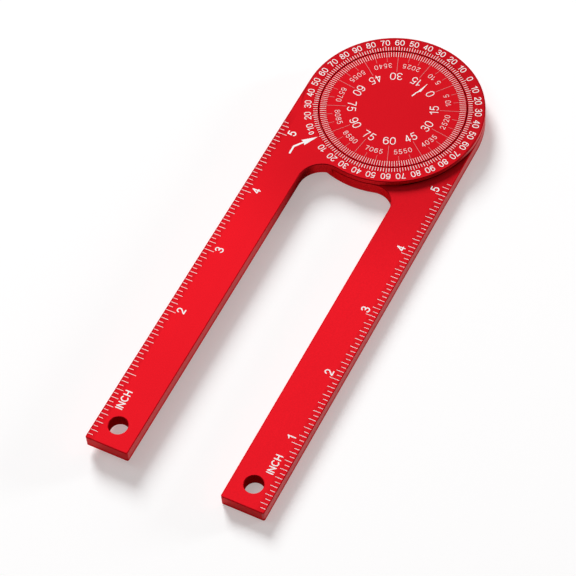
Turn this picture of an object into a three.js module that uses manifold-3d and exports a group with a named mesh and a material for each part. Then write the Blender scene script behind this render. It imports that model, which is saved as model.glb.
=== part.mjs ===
// Angle finder with two flat arms. The base arm carries a round hub, the ring arm turns on it,
// and a dial screwed to the hub from below holds the ring down and carries the inner scale.
// Millimetres, +Z up. The origin is the pivot's centre on the underside, and both arms point along -Y.
import * as THREE from "three";
import { mergeVertices } from "three/addons/utils/BufferGeometryUtils.js";
import Module from "manifold-3d";

const wasm = await Module();
wasm.setup();

// Both arms
const hubRadius = 30;
const armWidth = 14.4;
const armReach = 151.2; // pivot centre to either tip
const armThickness = 4.5;
const baseThroatRadius = 7; // inside corner between the base arm and its hub
const ringThroatRadius = 8; // inside corner between the ring arm and its ring
const tipCornerRadius = 0.6;
const tipHoleRadius = 3.05;
const tipHoleInset = 7.7; // tip hole's centre from the tip
const edgeBreak = 0.2; // small chamfer on every outside edge

// Hub stack, from the underside up
const coverThickness = 1.2;
const hubFloor = 1.5; // base metal left between the cover's recess and the ring's pocket
const washerSheet = 0.3;
const washerWave = 0.3; // height of the spring washer's waves, peak to trough
const glideThickness = 0.3;
const dialFlange = 1.1; // thickness of the dial's rim
const ringRise = 2; // ring's top above the base arm's top

// Widths in the hub, from its outside in
const hubWall = 4; // from the hub's outside to the ring's journal, which turns in the base arm's pocket
const journalWall = 1.65; // from the journal's outside to the ring's bore round the dial
const ledgeWidth = 2.05; // ledge of the ring, which the dial's rim holds down
const coverMargin = 10; // from the hub's outside to the rear cover's edge

// Cover screws
const screwInset = 5; // screws' circle from the cover's edge
const screwRadius = 1.25;
const screwHeadRadius = 2.3;
const screwHeadHeight = 1.05;
const screwHeadSink = 0.1; // head's face below the cover's face
const screwLength = 5.1;
const crossSpan = 2.5;
const crossSlot = 0.6;
const crossDepth = 0.6;

// Dowels on the screws' circle, which keep the dial's zero on the base arm's edge
const dowelRadius = 1;
const dowelInBase = 0.9;
const dowelInDial = 1.7;

// Play
const runningGap = 0.3; // round a piece that turns or drops into a bore
const seatGap = 0.1; // between faces that bear on each other
const screwPlay = 0.2; // round a screw in its hole
const rimGap = 0.2; // between the ring's underside and the base arm's top
const cutOverrun = 1; // how far a cut runs past the face that it opens

// Counts, angles and fineness
const facetSag = 0.02; // most that a facet may leave its true arc
const fewestSteps = 10;
const screwCount = 4;
const dowelCount = 2;
const washerWaves = 3;
const screwStartTurnShare = 1 / 8; // first screw's place round the hub, as a share of a turn

// Sizes that follow from the ones above
const fullTurn = 2 * Math.PI;
const innerEdge = hubRadius - armWidth;
const ringTop = armThickness + ringRise;
const ringArmBottom = ringTop - armThickness;
const rimUnderside = armThickness + rimGap;
const reliefRadius = hubRadius + runningGap;
const journalRadius = hubRadius - hubWall;
const seamRadius = journalRadius - journalWall;
const ledgeRadius = seamRadius - ledgeWidth;
const coverRadius = hubRadius - coverMargin;
const screwCircle = coverRadius - screwInset;
const recessTop = coverThickness + seatGap;
const pocketFloor = recessTop + hubFloor;
const washerLow = pocketFloor + seatGap;
const washerHigh = washerLow + washerSheet + washerWave;
const journalBottom = washerHigh + seatGap;
const flangeUnderside = ringTop - dialFlange;
const glideHigh = flangeUnderside - seatGap;
const glideLow = glideHigh - glideThickness;
const ledgeTop = glideLow - seatGap;
const dialRadius = seamRadius - runningGap;
const dialBossRadius = ledgeRadius - runningGap;
const dialBossBottom = pocketFloor + seatGap;
const pocketRadius = journalRadius + runningGap;
const recessRadius = coverRadius + runningGap;
const screwConeTop = screwHeadSink + screwHeadHeight;
const screwTip = screwHeadSink + screwLength;
const dowelLow = pocketFloor - dowelInBase;
const dowelHigh = dialBossBottom + dowelInDial;

const finish = (color, roughness, metalness) =>
  new THREE.MeshStandardMaterial({ color, roughness, metalness });
const redAnodised = finish("#d81f2c", 0.45, 0.35);
const darkRedAnodised = finish("#b3131f", 0.5, 0.35);
const springSteel = finish("#8f9194", 0.3, 0.9);
const platedSteel = finish("#b9bbbd", 0.35, 0.9);
const whiteNylon = finish("#e9e6dc", 0.6, 0);

// How many straight steps an arc takes so that none leaves it by more than facetSag.
function arcSteps(radius, angle = fullTurn) {
  const step = 2 * Math.acos(1 - facetSag / radius);
  return Math.max(fewestSteps, Math.ceil(Math.abs(angle) / step));
}

// Points along an arc, both ends included.
function arcPoints(centreX, centreY, radius, from, to) {
  const steps = arcSteps(radius, to - from);
  return Array.from({ length: steps + 1 }, (_, i) => {
    const angle = from + ((to - from) * i) / steps;
    return new THREE.Vector2(centreX + radius * Math.cos(angle), centreY + radius * Math.sin(angle));
  });
}

// A closed geometry as a solid that can be cut and joined.
function solidOf(geometry) {
  const bare = geometry.index ? geometry.toNonIndexed() : geometry.clone();
  bare.deleteAttribute("normal");
  bare.deleteAttribute("uv");
  const merged = mergeVertices(bare);
  return new wasm.Manifold(
    new wasm.Mesh({
      numProp: 3,
      vertProperties: merged.attributes.position.array,
      triVerts: new Uint32Array(merged.index.array),
    }),
  );
}

function meshOf(name, solid, material) {
  const made = solid.getMesh();
  const geometry = new THREE.BufferGeometry();
  geometry.setAttribute("position", new THREE.BufferAttribute(new Float32Array(made.vertProperties), 3));
  geometry.setIndex(new THREE.BufferAttribute(new Uint32Array(made.triVerts), 1));
  geometry.computeVertexNormals();
  const mesh = new THREE.Mesh(geometry, material);
  mesh.name = name;
  return mesh;
}

// Turns a profile of [radius, height] pairs round the Z axis.
function turnedGeometry(profile, steps = arcSteps(Math.max(...profile.map(([radius]) => radius)))) {
  const points = profile.map(([radius, height]) => new THREE.Vector2(radius, height));
  return new THREE.LatheGeometry(points, steps).rotateX(Math.PI / 2);
}

function disc(radius, low, high) {
  return solidOf(
    turnedGeometry([
      [0, low],
      [radius, low],
      [radius, high],
      [0, high],
    ]),
  );
}

function ringGeometry(inner, outer, low, high) {
  return turnedGeometry([
    [inner, low],
    [outer, low],
    [outer, high],
    [inner, high],
    [inner, low],
  ]);
}

// The same solid at each of count places on a circle, the first one turned on by startShare of a turn.
function roundTheHub(solid, circle, count, startShare = 0) {
  return Array.from({ length: count }, (_, i) => {
    const angle = fullTurn * (startShare + i / count);
    return solid.translate([circle * Math.cos(angle), circle * Math.sin(angle), 0]);
  });
}

// Outline of an arm and its round end. The arm lies on the side of +X, and its outer edge is
// tangent to the round end, as on the real tool.
function armOutline(throatRadius) {
  const throatX = innerEdge - throatRadius;
  const throatY = -Math.sqrt((hubRadius + throatRadius) ** 2 - throatX ** 2);
  const throatAngle = Math.atan2(throatY, throatX) + fullTurn;
  const cornerY = tipCornerRadius - armReach;
  return [
    ...arcPoints(0, 0, hubRadius, 0, throatAngle),
    ...arcPoints(throatX, throatY, throatRadius, throatAngle - Math.PI, 0).slice(1),
    ...arcPoints(innerEdge + tipCornerRadius, cornerY, tipCornerRadius, Math.PI, 1.5 * Math.PI),
    ...arcPoints(hubRadius - tipCornerRadius, cornerY, tipCornerRadius, 1.5 * Math.PI, fullTurn),
  ];
}

// An arm with its round end and tip hole, all outside edges broken. side is 1 for +X and -1 for -X.
function armBlank(throatRadius, side, low) {
  const placed = (points) => {
    const moved = points.map((p) => new THREE.Vector2(side * p.x, p.y));
    return side > 0 ? moved : moved.reverse(); // a mirrored outline runs the other way round
  };
  const shape = new THREE.Shape(placed(armOutline(throatRadius)));
  const holeX = hubRadius - armWidth / 2;
  const hole = arcPoints(holeX, tipHoleInset - armReach, tipHoleRadius, 0, fullTurn).slice(1);
  shape.holes.push(new THREE.Path(placed(hole)));
  const geometry = new THREE.ExtrudeGeometry(shape, {
    depth: armThickness - 2 * edgeBreak,
    bevelThickness: edgeBreak,
    bevelSize: edgeBreak,
    bevelOffset: -edgeBreak,
    bevelSegments: 1,
  });
  return solidOf(geometry.translate(0, 0, low + edgeBreak));
}

// Hole for a countersunk screw that goes in from below, with play all round it.
function screwHole() {
  const mouth = screwHeadRadius + screwPlay;
  const bore = screwRadius + screwPlay;
  return solidOf(
    turnedGeometry(
      [
        [0, -cutOverrun],
        [mouth, -cutOverrun],
        [mouth, screwHeadSink],
        [bore, screwConeTop],
        [bore, screwTip + screwPlay],
        [0, screwTip + screwPlay],
      ],
      arcSteps(screwHeadRadius),
    ),
  );
}

function coverScrew() {
  const bar = (spanX, spanY) =>
    solidOf(new THREE.BoxGeometry(spanX, spanY, 2 * crossDepth).translate(0, 0, screwHeadSink));
  const cross = bar(crossSpan, crossSlot).add(bar(crossSlot, crossSpan));
  const flat = edgeBreak / 2; // straight edge of the head below its cone
  const body = solidOf(
    turnedGeometry(
      [
        [0, screwHeadSink],
        [screwHeadRadius, screwHeadSink],
        [screwHeadRadius, screwHeadSink + flat],
        [screwRadius, screwConeTop],
        [screwRadius, screwTip - edgeBreak],
        [screwRadius - edgeBreak, screwTip],
        [0, screwTip],
      ],
      arcSteps(screwHeadRadius),
    ),
  );
  return body.subtract(cross);
}

const screwHoles = roundTheHub(screwHole(), screwCircle, screwCount, screwStartTurnShare);
const dowelHole = disc(dowelRadius + seatGap, dowelLow - seatGap, dowelHigh + seatGap);
const dowelHoles = roundTheHub(dowelHole, screwCircle, dowelCount);
const cutAll = (solid, cuts) => cuts.reduce((left, cut) => left.subtract(cut), solid);

function baseArm() {
  const blank = armBlank(baseThroatRadius, 1, 0);
  const pocket = disc(pocketRadius, pocketFloor, armThickness + cutOverrun);
  const recess = disc(recessRadius, -cutOverrun, recessTop);
  return cutAll(blank, [pocket, recess, ...screwHoles, ...dowelHoles]);
}

function ringArm() {
  const blank = armBlank(ringThroatRadius, -1, ringArmBottom);
  const relief = disc(reliefRadius, ringArmBottom - cutOverrun, rimUnderside);
  const journal = solidOf(ringGeometry(ledgeRadius, journalRadius, journalBottom, ledgeTop));
  const bore = disc(ledgeRadius, rimUnderside - cutOverrun, ringTop + cutOverrun);
  const counterbore = disc(seamRadius, ledgeTop, ringTop + cutOverrun);
  return cutAll(blank, [relief, bore]).add(journal).subtract(counterbore);
}

function dialDisc() {
  const body = solidOf(
    turnedGeometry([
      [0, dialBossBottom],
      [dialBossRadius, dialBossBottom],
      [dialBossRadius, flangeUnderside],
      [dialRadius, flangeUnderside],
      [dialRadius, ringTop - edgeBreak],
      [dialRadius - edgeBreak, ringTop],
      [0, ringTop],
    ]),
  );
  return cutAll(body, [...screwHoles, ...dowelHoles]);
}

function rearCover() {
  const body = solidOf(
    turnedGeometry([
      [0, 0],
      [coverRadius - edgeBreak, 0],
      [coverRadius, edgeBreak],
      [coverRadius, coverThickness],
      [0, coverThickness],
    ]),
  );
  return cutAll(body, screwHoles);
}

// The spring washer is a flat ring whose height follows a few sine waves round the hub.
function waveWasher() {
  const middle = washerLow + washerWave / 2;
  const geometry = ringGeometry(ledgeRadius, journalRadius - runningGap, middle, middle + washerSheet);
  const place = geometry.getAttribute("position");
  for (let i = 0; i < place.count; i += 1) {
    const angle = Math.atan2(place.getY(i), place.getX(i));
    place.setZ(i, place.getZ(i) + (washerWave / 2) * Math.sin(washerWaves * angle));
  }
  return solidOf(geometry);
}

function glideRing() {
  return solidOf(ringGeometry(ledgeRadius, dialRadius, glideLow, glideHigh));
}

function dowel() {
  const edge = edgeBreak / 2;
  return solidOf(
    turnedGeometry([
      [0, dowelLow],
      [dowelRadius - edge, dowelLow],
      [dowelRadius, dowelLow + edge],
      [dowelRadius, dowelHigh - edge],
      [dowelRadius - edge, dowelHigh],
      [0, dowelHigh],
    ]),
  );
}

const base = new THREE.Group();
base.add(
  meshOf("base_arm", baseArm(), redAnodised),
  meshOf("dial_disc", dialDisc(), redAnodised),
  meshOf("rear_cover", rearCover(), darkRedAnodised),
  meshOf("wave_washer", waveWasher(), springSteel),
  meshOf("glide_ring", glideRing(), whiteNylon),
);
roundTheHub(coverScrew(), screwCircle, screwCount, screwStartTurnShare).forEach((solid, i) =>
  base.add(meshOf(`cover_screw_${i + 1}`, solid, platedSteel)),
);
roundTheHub(dowel(), screwCircle, dowelCount).forEach((solid, i) =>
  base.add(meshOf(`dial_dowel_${i + 1}`, solid, platedSteel)),
);

const swing = new THREE.Group();
swing.add(meshOf("ring_arm", ringArm(), redAnodised));

const angleFinder = new THREE.Group();
angleFinder.add(base, swing);

export default angleFinder;
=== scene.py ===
import math

import bpy
from mathutils import Euler, Matrix, Vector
from mathutils.geometry import delaunay_2d_cdt


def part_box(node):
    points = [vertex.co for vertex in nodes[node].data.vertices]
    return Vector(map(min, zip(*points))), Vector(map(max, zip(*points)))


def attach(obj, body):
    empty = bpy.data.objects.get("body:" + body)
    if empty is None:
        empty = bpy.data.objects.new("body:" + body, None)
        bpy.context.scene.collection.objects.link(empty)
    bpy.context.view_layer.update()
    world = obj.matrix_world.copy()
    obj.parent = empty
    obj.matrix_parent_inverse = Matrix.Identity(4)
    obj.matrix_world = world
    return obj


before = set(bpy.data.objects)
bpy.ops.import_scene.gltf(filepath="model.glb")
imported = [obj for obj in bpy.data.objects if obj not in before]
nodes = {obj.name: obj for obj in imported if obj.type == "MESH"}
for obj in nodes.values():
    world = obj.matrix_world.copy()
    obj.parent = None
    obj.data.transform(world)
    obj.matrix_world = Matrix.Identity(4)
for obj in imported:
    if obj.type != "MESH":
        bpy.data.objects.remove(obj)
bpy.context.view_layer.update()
mm = 0.001  # the marks below are laid out in millimetres, Blender works in metres

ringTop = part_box("ring_arm")[1].z / mm
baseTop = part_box("base_arm")[1].z / mm
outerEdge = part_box("base_arm")[1].x / mm  # either arm's outer edge from the pivot
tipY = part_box("base_arm")[0].y / mm
print("frame loaded:", len(nodes), "nodes, ring top at", round(ringTop, 2), "mm")


class Wire:  # one socket of a node tree; arithmetic on it adds Math nodes
    def __init__(self, tree, socket=None):
        self.tree = tree
        self.socket = socket

    def node(self, kind, settings=None, sockets=None, output=0):
        made = self.tree.nodes.new(kind)
        for key, value in (settings or {}).items():
            setattr(made, key, value)
        for key, value in (sockets or {}).items():
            self.plug(made.inputs[key], value)
        return Wire(self.tree, made.outputs[output] if made.outputs else None)

    def plug(self, target, value):
        if isinstance(value, Wire):
            self.tree.links.new(value.socket, target)
        else:
            target.default_value = value

    def maths(self, operation, first, second=0.0, clamped=False):
        settings = {"operation": operation, "use_clamp": clamped}
        return self.node("ShaderNodeMath", settings, {0: first, 1: second})

    def __add__(self, other):
        return self.maths("ADD", self, other)

    __radd__ = __add__

    def __mul__(self, other):
        return self.maths("MULTIPLY", self, other)

    __rmul__ = __mul__

    def __sub__(self, other):
        return self.maths("SUBTRACT", self, other)

    def __rsub__(self, other):
        return self.maths("SUBTRACT", other, self)

    def absolute(self):
        return self.maths("ABSOLUTE", self)

    def part(self, index):  # one coordinate of a place
        return self.node("ShaderNodeSeparateXYZ", {}, {0: self}, index)

    def clamped(self):
        return self.maths("ADD", self, 0.0, True)

    def between(self, low, high):  # 0 at low, 1 at high, smooth in the middle
        settings = {"interpolation_type": "SMOOTHSTEP"}
        return self.node("ShaderNodeMapRange", settings, {0: self, 1: low, 2: high})

    def within(self, start, end):  # 1 from one fade to the next, 0 outside them
        return self.between(*start) * (1 - self.between(*end))

    def sway(self, share):  # noise from 0 to 1, made to sway about 0
        return (self - 0.5) * share

    def blend(self, kind, first, second, factor=1.0):  # 6, 7 and 2 are the Mix node's colour sockets
        settings = {"data_type": "RGBA", "blend_type": kind}
        return self.node("ShaderNodeMix", settings, {0: factor, 6: first, 7: second}, 2)

    def mix(self, first, second):  # colour that goes from first to second as this goes from 0 to 1
        return self.blend("MIX", first, second, self)

    def brighten(self, colour):  # colour times this value
        grey = self.node("ShaderNodeCombineColor", {}, {0: self, 1: self, 2: self})
        return self.blend("MULTIPLY", colour, grey)


def rgba(colour):
    return (*colour, 1.0)


def newMaterial(name):
    material = bpy.data.materials.new(name)
    material.use_nodes = True
    tree = material.node_tree
    tree.nodes.clear()
    return material, Wire(tree)


def finishMaterial(material, wires, sockets):
    shader = wires.node("ShaderNodeBsdfPrincipled", {}, sockets)
    wires.node("ShaderNodeOutputMaterial", {}, {"Surface": shader})
    return material


def inMillimetres(wires):  # object coordinates, so that the grain stays on its piece
    place = wires.node("ShaderNodeTexCoord", {}, {}, "Object")
    return wires.node("ShaderNodeVectorMath", {"operation": "SCALE"}, {0: place, "Scale": 1 / mm}, 0)


def speckle(wires, place, size, detail=2.0, roughness=0.55):  # noise from 0 to 1 with features of that size
    sockets = {"Vector": place, "Scale": 1 / size, "Detail": detail, "Roughness": roughness}
    return wires.node("ShaderNodeTexNoise", {}, sockets, 0)


def facing(wires, axis):  # 1 on faces that look along the axis, -1 on those that look back
    return wires.node("ShaderNodeTexCoord", {}, {}, "Normal").part(axis)


def span(across, along):  # length of a step across and along the arms
    step = across.node("ShaderNodeCombineXYZ", {}, {0: across, 1: along})
    return across.node("ShaderNodeVectorMath", {"operation": "LENGTH"}, {0: step}, 1)


def fromPivot(place):  # mm, in any direction
    return span(place.part(0), place.part(1))


def downArms(place):  # mm from the pivot towards the tips
    return 0 - place.part(1)


def past(edge, steps):  # places that lie those steps outside an edge
    return [edge + step for step in steps]


tipBore = {"fromEdge": 7.2, "fromTip": 7.7, "reach": (3.4, 3.6)}  # mm

# Pairs of places are in mm and say where a mask begins to change and where it has changed
redFinish = {
    "film": (0.83, 0.0115, 0.021),  # dyed film on the blasted flat faces
    "walls": (0.91, 0.022, 0.03),
    "brushed": (0.68, 0.001, 0.006),  # walls of the outline
    "tips": (0.65, 0.001, 0.006),  # painted shade: the arms' end faces, darker than the other walls
    "bores": (0.3, 0.0, 0.002),  # painted shade on the walls of the arms' tip holes
    "edges": (0.34, 0.0, 0.004),  # broken edges, made darker
    "edgeShare": 0.7,
    "tipEdgeLoss": 0.75,  # share that the tips' edges lack of it
    "metallic": 0.12,
    "wallMetallic": 0.65,
    "specular": 0.0,
    "tint": (1.0, 0.08, 0.1),  # grazing light stays red in the dye
    "roughness": 0.36,
    "wallRoughness": 0.45,
    "wallFacing": (0.1, 0.6),  # how level a face is where it stops being a wall
    "upFacing": (0.8, 0.95),  # and where it is a flat face of the printed side
    "outlineFrom": (-0.8, -0.4),  # past the outer edge
    "grain": 0.36,  # mm, blasted grain
    "grainShade": 0.25,
    "cloud": 16,  # mm, slow change of the dye
    "cloudShade": 0.03,
    "cloudRoughness": 0.03,
    "wallGrain": 0.34,  # mm, brushed grain
    "wallGrainFrom": (0.35, 0.7),  # of the noise
    "wallShade": 0.35,
    "bump": 0.22,
    "bumpDepth": 0.012,  # mm
    "turnedGrain": 0.5,  # share of the blasted grain that is left on a turned face
    "turnedRings": 21.0,  # radians for each mm
    "turnedDepth": 0.35,
    "lift": {"base_arm": 0.04},  # this arm's flat faces are made 4% lighter
    # brushed walls shine, but not at their foot
    "sheenShares": (0.1, 0.4),  # of the piece's height
    "sheenBelow": (0.2, 0.45),  # under its top
    "sheenLeast": 0.4,  # share of the sheen where the brushed grain is lightest
    "sheenRoughness": 0.3,
    "sheenIndex": 2.35,
    "armShare": 0.62,
    "tipShare": 0.22,
    "hubSheenFrom": (-22, -12),  # along, on the hub's wall
    "longEdgeFrom": (38, 84),  # from the pivot, on the arms' inner edges
    "longEdgeFacing": (0.9, 0.98),
    "longEdgeShare": 1.2,
    "brightTo": (50, 85),  # from the pivot, the arms' edges shine more up to there
    "brightNearHub": 0.55,
    # places made darker: painted shade near the hub, at the ring's joint and in the arms' inner corners, and
    # darker bands on the ring's back half, beside the back edges and between the ticks
    "paintedHubShade": 0.2,
    "paintedHubShadeTo": (34, 72),  # from the pivot; painted shade on the flat faces near the hub
    "paintedSeamShade": 0.92,  # painted shade: a dark line round the hub where the ring meets it
    "seamReach": (0.2, 0.5),  # above and below the joint
    "seamBeside": (13, 17),  # across, where the line begins
    "seamBehind": (-8, 0),  # along, where it begins at the back
    "seamSpread": 0.42,  # how much wider the painted shade is over the base arm, where the ring's shadow falls
    "seamTo": (0.3, 0.8),  # past the hub's edge, so that the base arm's own wall has no line
    "paintedCornerShade": 0.52,  # painted shade on the arms' inner edges where they come to the hub
    "cornerTo": (35, 70),  # from the pivot
    "cornerSides": (-8, -4),  # past the outer edge
    "cornerFacing": (0.6, 0.95),
    "rimShade": 0.32,  # thin line beside the back edges
    "rimReach": (0.3, 0.7),  # from the edge
    "rimRingFrom": (-14, -4),  # along, on the ring's rim
    "rimLeftFrom": (-2, 6),  # from the pivot, on the left arm's outer edge
    "rimRightFrom": (30, 38),  # from the pivot, on the right arm's inner edge
    "rimRightShare": 0.5,
    "ringBackShade": 0.15,  # the ring's back half
    "ringBackFrom": (-16, 10),  # along
    "ringBandFrom": (25, 26),  # from the pivot
    "ringBandTo": (-0.5, 1),  # past the outer edge
    "tickShade": 0.11,  # the metal between the ticks
    "tickBandFrom": (21.2, 21.6),  # from the pivot
    "tickBandTo": (26.2, 26.6),
    "tickStripFrom": (26.8, 27.8),  # across, for the rules' ticks
    "tickStripAlong": (12, 20),  # from the pivot
}


def atOutline(distance, edge=outerEdge):  # 1 where a distance comes up to the outline
    return distance.between(*past(edge, redFinish["outlineFrom"]))


def atHub(place):  # 1 on the hub's round wall
    return atOutline(fromPivot(place))


def atTip(place):  # 1 on the arms' end faces
    return atOutline(downArms(place), -tipY)


def inTipBore(place):  # 1 on the wall of either arm's tip hole
    across = place.part(0).absolute() - (outerEdge - tipBore["fromEdge"])
    along = place.part(1) - (tipY + tipBore["fromTip"])
    return 1 - span(across, along).between(*tipBore["reach"])


def brushedWalls(wires, place):  # 1 on the outline and the arms' long edges, 0 in the bores and the throat
    hub = atHub(place) * place.part(1).between(*redFinish["hubSheenFrom"])
    tip = atTip(place) * redFinish["tipShare"]
    outline = atOutline(place.part(0).absolute())
    longEdge = facing(wires, 0).absolute().between(*redFinish["longEdgeFacing"])
    longEdge = longEdge * downArms(place).between(*redFinish["longEdgeFrom"])
    nearHub = 1 - downArms(place).between(*redFinish["brightTo"])
    share = redFinish["armShare"] * (1 + nearHub * redFinish["brightNearHub"])
    arms = (outline + longEdge * redFinish["longEdgeShare"]) * share * (1 - tip)
    return (arms + hub + tip).clamped() * (1 - inTipBore(place))


def atSeam(place):  # 1 where painted shade darkens the ring's joint with the hub: along the back, and wider over the base arm where the ring's shadow falls
    beside = place.part(0).between(*redFinish["seamBeside"])
    behind = place.part(1).between(*redFinish["seamBehind"])
    rise = (place.part(2) - baseTop).absolute() * (1 - beside * (1 - behind) * redFinish["seamSpread"])
    line = (beside + behind).clamped() * (1 - rise.between(*redFinish["seamReach"]))
    onArm = fromPivot(place).between(*past(outerEdge, redFinish["seamTo"]))
    return atHub(place) * line * (1 - onArm)


def inCorner(wires, place):  # 1 on the arms' inner edges where they come to the hub, where painted shade darkens them
    sideways = facing(wires, 0).absolute().between(*redFinish["cornerFacing"])
    near = 1 - downArms(place).between(*redFinish["cornerTo"])
    clear = 1 - place.part(0).absolute().between(*past(outerEdge, redFinish["cornerSides"]))
    return sideways * near * clear


def atRim(place):  # 1 beside the flat faces' back edges, where they are made darker
    near, far = redFinish["rimReach"]
    beforeEdge = (outerEdge - far, outerEdge - near)
    ring = fromPivot(place).within(beforeEdge, (outerEdge, outerEdge + near))
    ring = ring * place.part(1).between(*redFinish["rimRingFrom"])
    left = (0 - place.part(0)).between(*beforeEdge)
    left = left * downArms(place).between(*redFinish["rimLeftFrom"])
    innerEdge = outerEdge - 2 * tipBore["fromEdge"]
    right = place.part(0).within((innerEdge - far, innerEdge), (innerEdge + near, innerEdge + far))
    right = right * downArms(place).between(*redFinish["rimRightFrom"]) * redFinish["rimRightShare"]
    return (ring + left + right).clamped()


def atRingBack(place):  # 1 on the ring's face on its side away from the arms
    band = fromPivot(place).within(redFinish["ringBandFrom"], past(outerEdge, redFinish["ringBandTo"]))
    return band * place.part(1).between(*redFinish["ringBackFrom"])


def amongTicks(place):  # 1 on the metal between the printed ticks
    scales = fromPivot(place).within(redFinish["tickBandFrom"], redFinish["tickBandTo"])
    rules = place.part(0).absolute().between(*redFinish["tickStripFrom"])
    rules = rules * downArms(place).between(*redFinish["tickStripAlong"])
    return (scales + rules).clamped()


def redAnodised(name, foot, top, turned=False, lift=0.0):  # foot and top are the piece's heights
    material, wires = newMaterial(name)
    place = inMillimetres(wires)
    flat = facing(wires, 2).absolute()
    up = facing(wires, 2).between(*redFinish["upFacing"])
    wall = 1 - flat.between(*redFinish["wallFacing"])
    edge = (flat * (1 - flat) * 4).clamped()  # 4 makes it 1 where a broken edge is half turned
    edge = edge * (1 - atTip(place) * redFinish["tipEdgeLoss"])
    grain = speckle(wires, place, redFinish["grain"])
    cloud = speckle(wires, place, redFinish["cloud"], detail=3.0)
    wallGrain = speckle(wires, place, redFinish["wallGrain"], detail=3.0, roughness=0.7)
    wallGrain = wallGrain.between(*redFinish["wallGrainFrom"])
    # painted shade at the ring's joint; there the walls also lose their coat and metallic shine
    seamPaintedShade = wall * atSeam(place)
    # painted shade in the arms' inner corners by the hub, which also takes away some of the walls' metallic
    # shine
    cornerPaintedShade = wall * inCorner(wires, place)
    brushed = brushedWalls(wires, place)
    height = place.part(2)
    low, high = (foot + share * (top - foot) for share in redFinish["sheenShares"])
    rise = height.between(low, high) * (top - height).between(*redFinish["sheenBelow"])
    sheen = wall * rise * (1 - edge) * (1 - seamPaintedShade) * brushed
    sheen = sheen * (redFinish["sheenLeast"] + wallGrain * (1 - redFinish["sheenLeast"]))
    shade = 1 + grain.sway(redFinish["grainShade"]) + cloud.sway(redFinish["cloudShade"])
    # darkening masks: brushed grain, painted shade near the hub, at the ring's joint and in the inner
    # corners, and darker bands on the ring's back half, between the ticks and beside the back edges
    grainBandsAndPaintedShade = {
        "wallShade": wall * wallGrain,
        "paintedHubShade": flat * (1 - fromPivot(place).between(*redFinish["paintedHubShadeTo"])),
        "paintedSeamShade": seamPaintedShade,
        "paintedCornerShade": cornerPaintedShade,
        "ringBackShade": up * atRingBack(place),
        "tickShade": up * amongTicks(place),
        "rimShade": up * atRim(place),
    }
    for share, mask in grainBandsAndPaintedShade.items():
        shade = shade * (1 - mask * redFinish[share])
    if lift:
        shade = shade * (1 + flat * lift)
    walls = brushed.mix(rgba(redFinish["walls"]), rgba(redFinish["brushed"]))
    # painted shade on the arms' end faces
    walls = atTip(place).mix(walls, rgba(redFinish["tips"]))
    # painted shade in the tip holes
    walls = inTipBore(place).mix(walls, rgba(redFinish["bores"]))
    colour = wall.mix(rgba(redFinish["film"]), walls)
    colour = (edge * redFinish["edgeShare"]).mix(colour, rgba(redFinish["edges"]))
    relief = grain
    if turned:  # faint rings that the lathe leaves
        radius = wires.node("ShaderNodeVectorMath", {"operation": "LENGTH"}, {0: place}, 1)
        rings = wires.maths("SINE", radius * redFinish["turnedRings"])
        relief = grain * redFinish["turnedGrain"] + rings * redFinish["turnedDepth"]
    sockets = {"Strength": redFinish["bump"], "Distance": redFinish["bumpDepth"] * mm, "Height": relief}
    bump = wires.node("ShaderNodeBump", {}, sockets)
    shine = (wall - cornerPaintedShade) * (redFinish["wallMetallic"] - redFinish["metallic"])
    roughness = redFinish["roughness"] + wall * (redFinish["wallRoughness"] - redFinish["roughness"])
    return finishMaterial(
        material,
        wires,
        {
            "Base Color": shade.brighten(colour),
            "Metallic": (1 - seamPaintedShade) * (redFinish["metallic"] + shine),
            "Specular IOR Level": redFinish["specular"],
            "Specular Tint": rgba(redFinish["tint"]),
            "Coat Weight": sheen,
            "Coat Roughness": redFinish["sheenRoughness"],
            "Coat IOR": redFinish["sheenIndex"],
            "Roughness": roughness + cloud.sway(redFinish["cloudRoughness"]),
            "Normal": bump,
        },
    )


inkFinish = {
    "white": (0.92, 0.90, 0.90),
    "thin": (0.84, 0.48, 0.5),  # where the metal shows through a pinhole
    "faint": (0.55, 0.26, 0.27),  # hairlines
    "pinhole": 0.22,  # mm
    "pinholeFrom": (0.66, 0.8),  # of the noise
    "tone": 3.0,  # mm
    "toneShade": 0.06,
    "roughness": 0.6,
    "pinholeRoughness": 0.1,  # more than the ink's
}


def markingInk(name, shade):
    material, wires = newMaterial(name)
    place = inMillimetres(wires)
    holes = speckle(wires, place, inkFinish["pinhole"], detail=3.0, roughness=0.6)
    holes = holes.between(*inkFinish["pinholeFrom"])
    tone = speckle(wires, place, inkFinish["tone"])
    colour = holes.mix(rgba(inkFinish[shade]), rgba(inkFinish["thin"]))
    return finishMaterial(
        material,
        wires,
        {
            "Base Color": (1 + tone.sway(inkFinish["toneShade"])).brighten(colour),
            "Roughness": inkFinish["roughness"] + holes * inkFinish["pinholeRoughness"],
        },
    )


steelFinish = {
    "plated": (0.66, 0.66, 0.63),
    "spring": (0.42, 0.43, 0.46),
    "roughness": 0.3,
    "smear": 0.5,  # mm
    "smearShade": 0.16,
    "smearRoughness": 0.2,
}


def steel(name, colour):
    material, wires = newMaterial(name)
    smear = speckle(wires, inMillimetres(wires), steelFinish["smear"], detail=3.0)
    return finishMaterial(
        material,
        wires,
        {
            "Base Color": (1 + smear.sway(steelFinish["smearShade"])).brighten(rgba(colour)),
            "Metallic": 1.0,
            "Roughness": steelFinish["roughness"] + smear.sway(steelFinish["smearRoughness"]),
        },
    )


nylonFinish = {"white": (0.80, 0.78, 0.72), "roughness": 0.55, "tone": 0.8, "toneShade": 0.1}  # tone in mm


def nylon():
    material, wires = newMaterial("white_nylon")
    tone = speckle(wires, inMillimetres(wires), nylonFinish["tone"], detail=3.0)
    return finishMaterial(
        material,
        wires,
        {
            "Base Color": (1 + tone.sway(nylonFinish["toneShade"])).brighten(rgba(nylonFinish["white"])),
            "Roughness": nylonFinish["roughness"],
        },
    )


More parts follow.
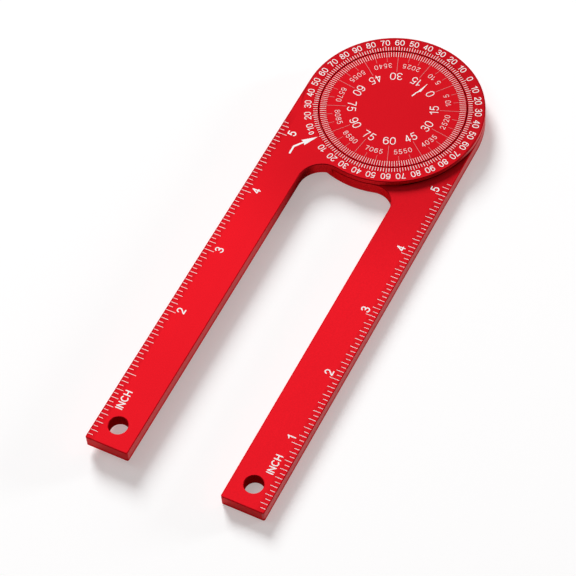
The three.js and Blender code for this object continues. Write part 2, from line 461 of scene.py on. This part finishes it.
edgeFinish = {"weld": 0.001, "round": 0.06, "segments": 2, "angle": 24, "flat": 0.4}  # mm and degrees


def softenEdges(node):  # rounds the broken edges and shades the arcs smooth
    node.data.shade_smooth()
    weld = node.modifiers.new("weld", "WELD")
    weld.merge_threshold = edgeFinish["weld"] * mm
    faces = node.modifiers.new("faces", "DECIMATE")
    faces.decimate_type = "DISSOLVE"
    faces.angle_limit = math.radians(edgeFinish["flat"])
    bevel = node.modifiers.new("round", "BEVEL")
    bevel.width = edgeFinish["round"] * mm
    bevel.segments = edgeFinish["segments"]
    bevel.limit_method = "ANGLE"
    bevel.angle_limit = math.radians(edgeFinish["angle"])
    bevel.harden_normals = True
    normals = node.modifiers.new("normals", "WEIGHTED_NORMAL")
    normals.keep_sharp = True


def dress(node, material):
    node.data.materials.clear()
    node.data.materials.append(material)
    softenEdges(node)


def heights(name):
    low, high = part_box(name)
    return low.z / mm, high.z / mm


platedSteel = steel("plated_steel", steelFinish["plated"])
springSteel = steel("spring_steel", steelFinish["spring"])
whiteNylon = nylon()
whiteInk = markingInk("white_ink", "white")
faintInk = markingInk("faint_ink", "faint")
for name, node in nodes.items():
    if name in ("base_arm", "ring_arm", "dial_disc", "rear_cover"):
        lift = redFinish["lift"].get(name, 0)
        dress(node, redAnodised("red_" + name, *heights(name), turned=name == "rear_cover", lift=lift))
    elif name == "wave_washer":
        dress(node, springSteel)
    elif name == "glide_ring":
        dress(node, whiteNylon)
    else:
        dress(node, platedSteel)
print("metal dressed")


arcStep = 18  # degrees
roundedBend = 4  # degrees; a stroke that bends less needs no round end there
sameSpot = 1e-6  # mm


# Strokes of the printed figures, in shares of a figure's width and height
def arc(centreX, centreY, radiusX, radiusY, start, end):
    steps = max(3, math.ceil(abs(end - start) / arcStep))
    turns = [math.radians(start + (end - start) * i / steps) for i in range(steps + 1)]
    return [(centreX + radiusX * math.cos(t), centreY + radiusY * math.sin(t)) for t in turns]


sixStrokes = [
    arc(0.5, 0.32, 0.5, 0.32, 0, 360),
    arc(0.52, 0.62, 0.52, 0.38, 38, 180) + [(0, 0.32)],
]
figureStrokes = {
    "0": [arc(0.5, 0.64, 0.5, 0.36, 0, 180) + arc(0.5, 0.36, 0.5, 0.36, 180, 360) + [(1, 0.64)]],
    "1": [[(0, 0.76), (0.5, 0.84), (0.8, 1), (0.8, 0)]],
    "2": [arc(0.49, 0.7, 0.47, 0.3, 172, -32) + [(0.62, 0.37), (0.14, 0.12), (0, 0), (1, 0)]],
    "3": [
        arc(0.48, 0.755, 0.43, 0.245, 160, -90) + [(0.36, 0.51)],
        [(0.36, 0.52)] + arc(0.49, 0.26, 0.5, 0.26, 80, -162),
    ],
    "4": [[(0.72, 0), (0.72, 1), (0, 0.27), (1, 0.27)]],
    "5": [[(0.9, 1), (0.2, 1), (0.1, 0.47)] + arc(0.49, 0.32, 0.5, 0.32, 132, -152)],
    "6": sixStrokes,
    "7": [[(0, 1), (1, 1), (0.7, 0.62), (0.5, 0.3), (0.42, 0)]],
    "8": [arc(0.5, 0.755, 0.43, 0.245, 0, 360), arc(0.5, 0.265, 0.5, 0.265, 0, 360)],
    "9": [[(1 - x, 1 - y) for x, y in stroke] for stroke in sixStrokes],
    "C": [arc(0.54, 0.5, 0.54, 0.5, 48, 312)],
    "H": [[(0, 0), (0, 1)], [(1, 0), (1, 1)], [(0, 0.52), (1, 0.52)]],
    "I": [[(0, 0), (0, 1)]],
    "N": [[(0, 0), (0, 1), (1, 0), (1, 1)]],
}
figureWidthShares = {"1": 0.38, "C": 0.74, "H": 0.66, "I": 0, "N": 0.68}
usualWidthShare = 0.58


def disc(centre, radius, sides=12):
    turns = [2 * math.pi * i / sides for i in range(sides)]
    return [centre + radius * Vector((math.cos(t), math.sin(t))) for t in turns]


def ribbon(points, width):  # a stroke as quads, with a round end at each point where it turns or stops
    half = width / 2
    pieces = [disc(points[0], half), disc(points[-1], half)]
    for a, b in zip(points, points[1:]):
        along = (b - a).normalized()
        side = Vector((-along.y, along.x)) * half
        pieces.append([a - side, b - side, b + side, a + side])
    for a, b, c in zip(points, points[1:], points[2:]):
        if (b - a).angle(c - b) > math.radians(roundedBend):
            pieces.append(disc(b, half))
    return pieces


def word(text, height, stroke, centre, turn, gapShare=0.13):  # figures round a centre; turn is anticlockwise
    tall = height - stroke
    widths = [figureWidthShares.get(figure, usualWidthShare) * tall for figure in text]
    gap = stroke + height * gapShare
    left = -(sum(widths) + gap * (len(text) - 1)) / 2
    rotation = Matrix.Rotation(math.radians(turn), 2)
    shapes = []
    for figure, width in zip(text, widths):
        pieces = []
        for strokePoints in figureStrokes[figure]:
            placed = [
                Vector(centre) + rotation @ Vector((left + x * width, (y - 0.5) * tall))
                for x, y in strokePoints
            ]
            pieces += ribbon(placed, stroke)
        shapes.append(pieces)
        left += width + gap
    return shapes


def bar(start, end, width):  # a straight tick with square ends
    along = (end - start).normalized()
    side = Vector((-along.y, along.x)) * width / 2
    return [[start - side, end - side, end + side, start + side]]


def joined(pieces):  # one outline from overlapping pieces, as points and triangles
    points = []
    faces = []
    for piece in pieces:
        faces.append(list(range(len(points), len(points) + len(piece))))
        points += piece
    corners, _, triangles, _, _, sources = delaunay_2d_cdt(points, [], faces, 0, sameSpot)
    return corners, [triangle for triangle, source in zip(triangles, sources) if source]


inkLayer = {"sunk": 0.01, "proud": 0.02}  # mm below and above the metal's face


def printMarks(name, shapes, surface, body, ink=whiteInk):  # a thin closed layer of ink for each shape
    vertices = []
    faces = []
    low = surface - inkLayer["sunk"]
    high = surface + inkLayer["proud"]
    for pieces in shapes:
        points, triangles = joined(pieces) if len(pieces) > 1 else (pieces[0], [range(len(pieces[0]))])
        start = len(vertices)
        count = len(points)
        vertices += [(p.x * mm, p.y * mm, high * mm) for p in points]
        vertices += [(p.x * mm, p.y * mm, low * mm) for p in points]
        edges = {(f[i - 1], f[i]) for f in triangles for i in range(len(f))}
        faces += [[start + i for i in f] for f in triangles]
        faces += [[start + count + i for i in reversed(f)] for f in triangles]
        rim = sorted(edge for edge in edges if edge[::-1] not in edges)
        faces += [[start + a, start + count + a, start + count + b, start + b] for a, b in rim]
    mesh = bpy.data.meshes.new(name)
    mesh.from_pydata(vertices, [], faces)
    mesh.validate()
    mesh.materials.append(ink)
    piece = bpy.data.objects.new(name, mesh)
    bpy.context.scene.collection.objects.link(piece)
    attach(piece, body)
    print("printed", name, len(shapes), "marks")
    return piece


def clockPoint(degrees, radius):  # clockwise from +Y, seen from above
    turn = math.radians(degrees)
    return Vector((math.sin(turn), math.cos(turn))) * radius


def spoke(degrees, inner, outer, width):
    return bar(clockPoint(degrees, inner), clockPoint(degrees, outer), width)


def foldedScale(place, highest=90):  # 0 up to the highest and back again, as a protractor counts
    inside = place % (2 * highest)
    return min(inside, 2 * highest - inside)


zeroTurn = 39.4  # degrees clockwise from +Y to the first zero of both scales

# Turns and steps of the scales are in degrees, all other sizes of the marks in mm
ringScale = {
    "tickStep": 2,
    "tickFrom": 24.5,
    "tickTo": 25.85,
    "longTickTo": 26.25,
    "tickWidth": 0.165,
    "figureStep": 10,
    "figureRadius": 27.75,
    "figureHeight": 2.25,
    "figureStroke": 0.25,
    "pointerPlace": 180,  # the pointer takes the second zero's place here
    "smallZeroTurn": 224.4,  # beside the pointer
    "smallZeroRadius": 28.05,
    "smallZeroHeight": 1.75,
    "smallZeroStroke": 0.28,
}
ticks = []
figures = []
for place in range(0, 360, ringScale["tickStep"]):
    reach = ringScale["tickTo" if place % ringScale["figureStep"] else "longTickTo"]
    ticks.append(spoke(zeroTurn + place, ringScale["tickFrom"], reach, ringScale["tickWidth"]))
for place in range(0, 360, ringScale["figureStep"]):
    if place != ringScale["pointerPlace"]:
        degrees = zeroTurn + place
        centre = clockPoint(degrees, ringScale["figureRadius"])
        number = str(foldedScale(place))
        figures += word(number, ringScale["figureHeight"], ringScale["figureStroke"], centre, -degrees)
degrees = ringScale["smallZeroTurn"]
centre = clockPoint(degrees, ringScale["smallZeroRadius"])
figures += word("0", ringScale["smallZeroHeight"], ringScale["smallZeroStroke"], centre, -degrees)
printMarks("ring_scale_ticks", ticks, ringTop, "swing")
printMarks("ring_scale_figures", figures, ringTop, "swing")


dialScale = {
    "tickStep": 2,
    "tickFrom": 21.65,
    "tickTo": 23.7,
    "tickWidth": 0.13,
    "rayStep": 10,
    "longRayStep": 30,
    "long": {
        "rayFrom": 15.3,
        "rayWidth": 0.1,
        "figureRadius": 13.4,
        "figureHeight": 2.95,
        "figureStroke": 0.26,
        "gapShare": 0.13,
    },
    "short": {
        "rayFrom": 19.7,
        "rayWidth": 0.08,
        "figureRadius": 18.0,
        "figureHeight": 1.8,
        "figureStroke": 0.13,
        "gapShare": 0.26,
    },
}
ticks = []
rays = []
figures = []
smallFigures = []
for place in range(0, 360, dialScale["tickStep"]):
    ticks.append(spoke(zeroTurn + place, dialScale["tickFrom"], dialScale["tickTo"], dialScale["tickWidth"]))
for place in range(0, 360, dialScale["rayStep"]):
    degrees = zeroTurn + place
    long = place % dialScale["longRayStep"] == 0
    mark = dialScale["long" if long else "short"]
    rays.append(spoke(degrees, mark["rayFrom"], dialScale["tickFrom"], mark["rayWidth"]))
    centre = clockPoint(degrees, mark["figureRadius"])
    mitre = str(foldedScale(place, 180) // 2)  # half of the angle between the arms
    shapes = word(mitre, mark["figureHeight"], mark["figureStroke"], centre, 180 - degrees, mark["gapShare"])
    (figures if long else smallFigures).extend(shapes)
printMarks("dial_scale_ticks", ticks, ringTop, "base")
printMarks("dial_scale_rays", rays, ringTop, "base", faintInk)
printMarks("dial_scale_figures", figures, ringTop, "base")
printMarks("dial_scale_small_figures", smallFigures, ringTop, "base")


rule = {
    "inch": 25.4,
    "divisions": 16,  # in an inch
    "count": 83,  # ticks
    "edgeGap": 0.3,  # from the arm's outer edge to the ticks
    "oddTick": 1.55,
    "evenTick": 2.4,
    "inchTick": 3.3,
    "tickWidth": 0.15,
    "figureHeight": 2.9,
    "figureStroke": 0.39,
    "figureAhead": 1.45,  # figure's centre towards the hub from its tick
    "figureInset": {"base": 4.4, "swing": 4.8},  # figure's centre from the outer edge
    "unit": "INCH",
    "unitHeight": 2.5,
    "unitStroke": 0.38,
    "unitInset": {"base": 4.7, "swing": 4.4},
    "unitPlace": 16.35,  # unit's centre from the tip
    "turn": 90,  # the figures stand across the arms
}


def printRule(name, side, surface, body, firstFigure):  # side is 1 for the right arm, -1 for the left one
    ticks = []
    words = []
    outer = outerEdge - rule["edgeGap"]
    for n in range(1, rule["count"] + 1):
        inches, rest = divmod(n, rule["divisions"])
        y = tipY + n * rule["inch"] / rule["divisions"]
        length = rule["oddTick" if n % 2 else "evenTick"] if rest else rule["inchTick"]
        start = Vector((side * outer, y))
        end = Vector((side * (outer - length), y))
        ticks.append(bar(start, end, rule["tickWidth"]))
        if rest == 0 and inches >= firstFigure:
            centre = (side * (outerEdge - rule["figureInset"][body]), y + rule["figureAhead"])
            words += word(str(inches), rule["figureHeight"], rule["figureStroke"], centre, rule["turn"])
    centre = (side * (outerEdge - rule["unitInset"][body]), tipY + rule["unitPlace"])
    words += word(rule["unit"], rule["unitHeight"], rule["unitStroke"], centre, rule["turn"])
    printMarks(name + "_ticks", ticks, surface, body)
    printMarks(name + "_figures", words, surface, body)


printRule("base_arm_rule", 1, baseTop, "base", firstFigure=1)
printRule("ring_arm_rule", -1, ringTop, "swing", firstFigure=2)


arrows = {
    "ring": {
        "start": (-22.35, -30.1),
        "bend": (-22.35, -27.2),
        "neck": (-20.35, -24.65),
        "tip": (-17.05, -20.6),
        "shaft": 0.62,
        "wing": 1.15,
    },
    "dial": {
        "start": (3.5, 7.3),
        "bend": (4.3, 9.3),
        "neck": (4.9, 9.9),
        "tip": (6.0, 14.0),
        "shaft": 0.38,
        "wing": 0.42,
    },
    "notchShare": 0.25,  # depth of the notch behind the head, as a share of the wing
}


def bentArrow(start, bend, neck, tip, shaft, wing):  # a shaft that bends, then a pointed head
    start, bend, neck, tip = (Vector(p) for p in (start, bend, neck, tip))
    along = (tip - neck).normalized()
    side = Vector((-along.y, along.x)) * wing
    notch = neck + along * wing * arrows["notchShare"]
    head = [[neck - side, tip, notch], [notch, tip, neck + side]]
    return ribbon([start, bend, notch], shaft) + head


printMarks("ring_pointer", [bentArrow(**arrows["ring"])], ringTop, "swing")
printMarks("dial_arrow", [bentArrow(**arrows["dial"])], ringTop, "base")


floorLook = {
    "colour": (0.67, 0.71, 0.715),
    "shown": (0.383, 0.338, 0.334),  # added where a camera or a reflection sees it, so it reads as white
    "radius": 4.0,  # m
    "sides": 96,
    "drop": 0.00005,  # m under the part
}


def straightRays(wires):  # 1 where the camera sees this, directly or in metal or glass
    kinds = ("Is Camera Ray", "Is Glossy Ray", "Is Transmission Ray")
    camera, glossy, through = (wires.node("ShaderNodeLightPath", {}, {}, kind) for kind in kinds)
    return (camera + glossy + through).clamped()


def makeFloor():
    rim = [point.to_3d() for point in disc(Vector((0, 0)), floorLook["radius"], floorLook["sides"])]
    mesh = bpy.data.meshes.new("floor")
    mesh.from_pydata(rim, [], [list(range(len(rim)))])
    material, wires = newMaterial("floor_paper")
    seen = straightRays(wires)
    paper = wires.node("ShaderNodeBsdfDiffuse", {}, {"Color": rgba(floorLook["colour"])})
    glow = wires.node("ShaderNodeEmission", {}, {"Color": rgba(floorLook["shown"]), "Strength": seen})
    both = wires.node("ShaderNodeAddShader", {}, {0: paper, 1: glow})
    wires.node("ShaderNodeOutputMaterial", {}, {"Surface": both})
    mesh.materials.append(material)
    floor = bpy.data.objects.new("floor", mesh)
    floor.location.z = -floorLook["drop"]
    bpy.context.scene.collection.objects.link(floor)


# Bearings are degrees clockwise from +Y, elevations degrees above the floor, distances and sizes metres
lights = {
    "dome": 0.22,  # soft light of the sky on its bright side
    "domeBearing": -60,
    "domeElevation": 45,
    "domeFrom": -0.3,  # cosine of the angle from the bright side where the dome's light begins
    "wall": 1.0,  # how bright the studio's white walls look, from the floor up to wallTop
    "wallTop": 0.36,  # sine of the elevation where the walls end
    "wallFade": 0.08,
    "ceiling": 0.14,
    "key": {"share": 0.69, "bearing": -45, "elevation": 30, "distance": 6.0, "size": 2.4},
    "fill": {"share": 0.07, "bearing": -100, "elevation": 55, "distance": 2.0, "size": 1.0},
    "rim": {"share": 0.06, "bearing": 48, "elevation": 9, "distance": 4.0, "size": 0.8},
    "aim": (0.0, -0.07, 0.0),
}


def towards(bearing, elevation):
    turn = math.radians(bearing)
    height = math.radians(elevation)
    return Vector((math.sin(turn) * math.cos(height), math.cos(turn) * math.cos(height), math.sin(height)))


def makeLamp(name, lamp):  # share is its part of the light on the floor
    away = towards(lamp["bearing"], lamp["elevation"])
    data = bpy.data.lights.new(name, "AREA")
    data.shape = "DISK"
    data.size = lamp["size"]
    data.energy = lamp["share"] * math.pi**2 * lamp["distance"] ** 2 / away.z
    piece = bpy.data.objects.new(name, data)
    piece.location = Vector(lights["aim"]) + away * lamp["distance"]
    piece.rotation_euler = away.to_track_quat("Z", "Y").to_euler()
    bpy.context.scene.collection.objects.link(piece)


def makeSky():
    world = bpy.data.worlds.new("studio")
    world.use_nodes = True
    world.node_tree.nodes.clear()
    wires = Wire(world.node_tree)
    direction = wires.node("ShaderNodeTexCoord", {}, {}, "Generated")
    above = direction.part(2).between(*past(lights["wallTop"], (-lights["wallFade"], lights["wallFade"])))
    look = lights["wall"] + above * (lights["ceiling"] - lights["wall"])
    seen = straightRays(wires)
    bright = towards(lights["domeBearing"], lights["domeElevation"])
    side = wires.node("ShaderNodeVectorMath", {"operation": "DOT_PRODUCT"}, {0: direction, 1: bright}, 1)
    strength = seen * look + (1 - seen) * side.between(lights["domeFrom"], 1) * lights["dome"]
    studio = wires.node("ShaderNodeBackground", {}, {"Color": rgba((1, 1, 1)), "Strength": strength})
    wires.node("ShaderNodeOutputWorld", {}, {"Surface": studio})
    bpy.context.scene.world = world


makeFloor()
for name in ("key", "fill", "rim"):
    makeLamp(name, lights[name])
makeSky()
print("floor and lights made")


shot = {
    "aim": (-0.0003, -0.0755, 0.003),  # m
    "distance": 0.7879,  # m
    "bearing": 31.27,  # degrees to the left of +Y
    "elevation": 55.05,
    "roll": -5.49,
    "lens": 158.35,  # mm
    "sensor": 36,  # mm
    "clip": (0.01, 20),  # m
}


def makeCamera():
    data = bpy.data.cameras.new("camera")
    data.lens = shot["lens"]
    data.sensor_width = shot["sensor"]
    data.clip_start, data.clip_end = shot["clip"]
    camera = bpy.data.objects.new("camera", data)
    tilt = Euler((math.radians(90 - shot["elevation"]), 0, math.radians(shot["bearing"]))).to_matrix()
    rotation = tilt @ Matrix.Rotation(math.radians(shot["roll"]), 3, "Z")
    camera.matrix_world = Matrix.Translation(
        Vector(shot["aim"]) + rotation @ Vector((0, 0, shot["distance"]))
    ) @ rotation.to_4x4()
    bpy.context.scene.collection.objects.link(camera)
    bpy.context.scene.camera = camera


makeCamera()
bpy.context.scene.view_settings.view_transform = "Standard"
print("camera set")
